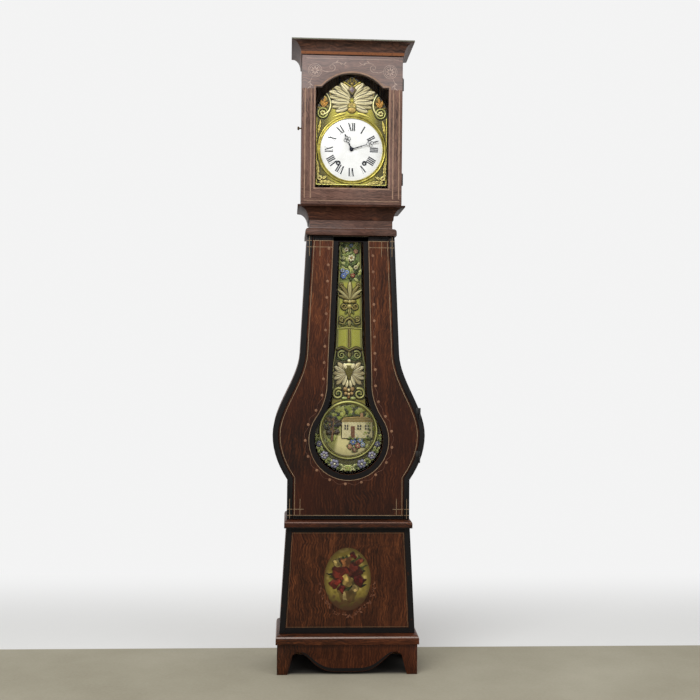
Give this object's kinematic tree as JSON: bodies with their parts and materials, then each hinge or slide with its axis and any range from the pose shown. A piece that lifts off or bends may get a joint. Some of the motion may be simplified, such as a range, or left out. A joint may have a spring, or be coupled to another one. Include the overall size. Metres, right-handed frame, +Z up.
{
  "type": "longcase clock",
  "caption": "Tall violin-shaped pendulum clock with arched glazed head door, pear-window trunk door, embossed pendulum, two weights and a striking movement inside.",
  "frame": {"origin": "on the floor, under the middle of the bounding box", "axes": "+Z up, the dial looks to -Y, the wall is at +Y"},
  "size_m": [0.5644, 0.29, 2.3294],
  "materials": {
    "grained_wood": "painted graining, satin varnish",
    "plain_wood": "bare aged softwood",
    "window_glass": "clear",
    "iron": "dark",
    "brass": "embossed sheet and turned brass",
    "blued_steel": "blued",
    "enamel": "white vitreous enamel on copper",
    "bell_metal": "cast bell metal",
    "cast_iron": "rough casting",
    "line": "twisted cord"
  },
  "bodies": {
    "case": {"foot_apron": "grained_wood", "foot_side_left": "grained_wood", "foot_side_right": "grained_wood", "plinth_ledge": "grained_wood", "base_front_panel": "grained_wood", "base_side_left": "grained_wood", "base_side_right": "grained_wood", "waist_ledge": "grained_wood", "trunk_side_left": "grained_wood", "trunk_side_right": "grained_wood", "neck_ledge": "grained_wood", "neck_cove": "grained_wood", "head_side_left": "grained_wood", "head_side_right": "grained_wood", "cornice": "grained_wood", "case_back": "plain_wood", "head_back": "plain_wood", "head_top": "plain_wood", "seat_board": "plain_wood", "cage_frame": "iron", "trunk_hinge_upper_fixed": "iron", "trunk_hinge_lower_fixed": "iron", "head_hinge_upper_fixed": "iron", "head_hinge_lower_fixed": "iron", "front_plate": "brass", "rear_plate": "brass", "fronton": "brass", "dial": "enamel", "bell": "bell_metal"},
    "trunk_door": {"trunk_door": "grained_wood", "trunk_glass": "window_glass", "trunk_hinge_upper_door": "iron", "trunk_hinge_lower_door": "iron"},
    "head_door": {"head_door": "grained_wood", "head_glass": "window_glass", "head_door_pull": "iron", "head_hinge_upper_door": "iron", "head_hinge_lower_door": "iron"},
    "pendulum": {"pendulum_rod": "blued_steel", "pendulum_plate": "brass", "pendulum_lens": "cast_iron"},
    "anchor": {"anchor": "blued_steel"},
    "escape_wheel": {"escape_wheel": "brass"},
    "third_wheel": {"third_wheel": "brass"},
    "going_great_wheel": {"going_great_wheel": "brass"},
    "going_barrel": {"going_barrel": "brass"},
    "going_weight": {"going_weight": "cast_iron", "going_line": "line"},
    "strike_great_wheel": {"strike_great_wheel": "brass"},
    "strike_barrel": {"strike_barrel": "brass"},
    "strike_weight": {"strike_weight": "cast_iron", "strike_line": "line"},
    "pin_wheel": {"pin_wheel": "brass"},
    "fly": {"fly": "brass"},
    "hammer": {"hammer": "blued_steel"},
    "minute_hand": {"minute_arbor": "blued_steel", "minute_hand": "blued_steel"},
    "minute_wheel": {"minute_wheel": "brass"},
    "hour_hand": {"hour_wheel": "brass", "hour_hand": "blued_steel"}
  },
  "joints": [
    {"name": "trunk_door_hinge", "type": "hinge", "parent": "case", "child": "trunk_door", "pos_m": [0.2622, -0.1033, 0.8772], "axis": [0, 0, 1], "range_deg": [0, 110]},
    {"name": "head_door_hinge", "type": "hinge", "parent": "case", "child": "head_door", "pos_m": [0.1893, -0.08785, 2.0021], "axis": [0, 0, 1], "range_deg": [0, 110]},
    {"name": "pendulum_swing", "type": "hinge", "parent": "case", "child": "pendulum", "pos_m": [0, -0.051, 1.9991], "axis": [0, 1, 0], "range_deg": [-4, 4]},
    {"name": "anchor_rock", "type": "hinge", "parent": "case", "child": "anchor", "pos_m": [0, -0.051, 1.9991], "axis": [0, 1, 0], "range_deg": [-4, 4]},
    {"name": "escape_turn", "type": "hinge", "parent": "case", "child": "escape_wheel", "pos_m": [0, 0.03, 1.9611], "axis": [0, 1, 0], "continuous": true},
    {"name": "third_turn", "type": "hinge", "parent": "case", "child": "third_wheel", "pos_m": [0.02618, 0.03, 1.9299], "axis": [0, 1, 0], "continuous": true},
    {"name": "going_great_turn", "type": "hinge", "parent": "case", "child": "going_great_wheel", "pos_m": [0.0485, 0.0415, 1.88643], "axis": [0, 1, 0], "continuous": true},
    {"name": "going_weight_lift", "type": "slide", "parent": "case", "child": "going_weight", "axis": [0, 0, 1], "range_m": [0, 1.22], "deforming": ["going_line"]},
    {"name": "going_barrel_wind", "type": "hinge", "parent": "case", "child": "going_barrel", "pos_m": [0.0485, 0.008, 1.88643], "axis": [0, 1, 0], "range_deg": [-2411, 0]},
    {"name": "strike_weight_lift", "type": "slide", "parent": "case", "child": "strike_weight", "axis": [0, 0, 1], "range_m": [0, 1.22], "deforming": ["strike_line"]},
    {"name": "strike_barrel_wind", "type": "hinge", "parent": "case", "child": "strike_barrel", "pos_m": [-0.0485, 0.008, 1.88643], "axis": [0, 1, 0], "range_deg": [0, 2411]},
    {"name": "fly_turn", "type": "hinge", "parent": "case", "child": "fly", "pos_m": [-0.05866, 0.03, 1.97496], "axis": [0, 1, 0], "continuous": true},
    {"name": "pin_wheel_turn", "type": "hinge", "parent": "case", "child": "pin_wheel", "pos_m": [-0.05866, 0.03, 1.93423], "axis": [0, 1, 0], "continuous": true},
    {"name": "strike_great_turn", "type": "hinge", "parent": "case", "child": "strike_great_wheel", "pos_m": [-0.0485, 0.0415, 1.88643], "axis": [0, 1, 0], "continuous": true},
    {"name": "hammer_swing", "type": "hinge", "parent": "case", "child": "hammer", "pos_m": [-0.079, -0.029, 2.0464], "axis": [0, 0, 1], "range_deg": [-3.3, 14]},
    {"name": "minute_turn", "type": "hinge", "parent": "case", "child": "minute_hand", "pos_m": [0, -0.0611, 1.9371], "axis": [0, 1, 0], "continuous": true},
    {"name": "minute_wheel_turn", "type": "hinge", "parent": "case", "child": "minute_wheel", "pos_m": [-0.03019, -0.05075, 1.9371], "axis": [0, 1, 0], "continuous": true},
    {"name": "hour_turn", "type": "hinge", "parent": "case", "child": "hour_hand", "pos_m": [0, -0.0645, 1.9371], "axis": [0, 1, 0], "continuous": true}
  ],
  "couplings": [
    {"joint": "anchor_rock", "follows": "pendulum_swing", "ratio": 1},
    {"joint": "third_turn", "follows": "escape_turn", "ratio": -0.125},
    {"joint": "going_great_turn", "follows": "escape_turn", "ratio": 0.015625},
    {"joint": "going_barrel_wind", "follows": "going_weight_lift", "rad_per_m": -34.483},
    {"joint": "strike_barrel_wind", "follows": "strike_weight_lift", "rad_per_m": 34.483},
    {"joint": "pin_wheel_turn", "follows": "fly_turn", "ratio": -0.125},
    {"joint": "strike_great_turn", "follows": "fly_turn", "ratio": 0.015625},
    {"joint": "minute_wheel_turn", "follows": "minute_turn", "ratio": -0.33333},
    {"joint": "hour_turn", "follows": "minute_turn", "ratio": 0.083333}
  ]
}
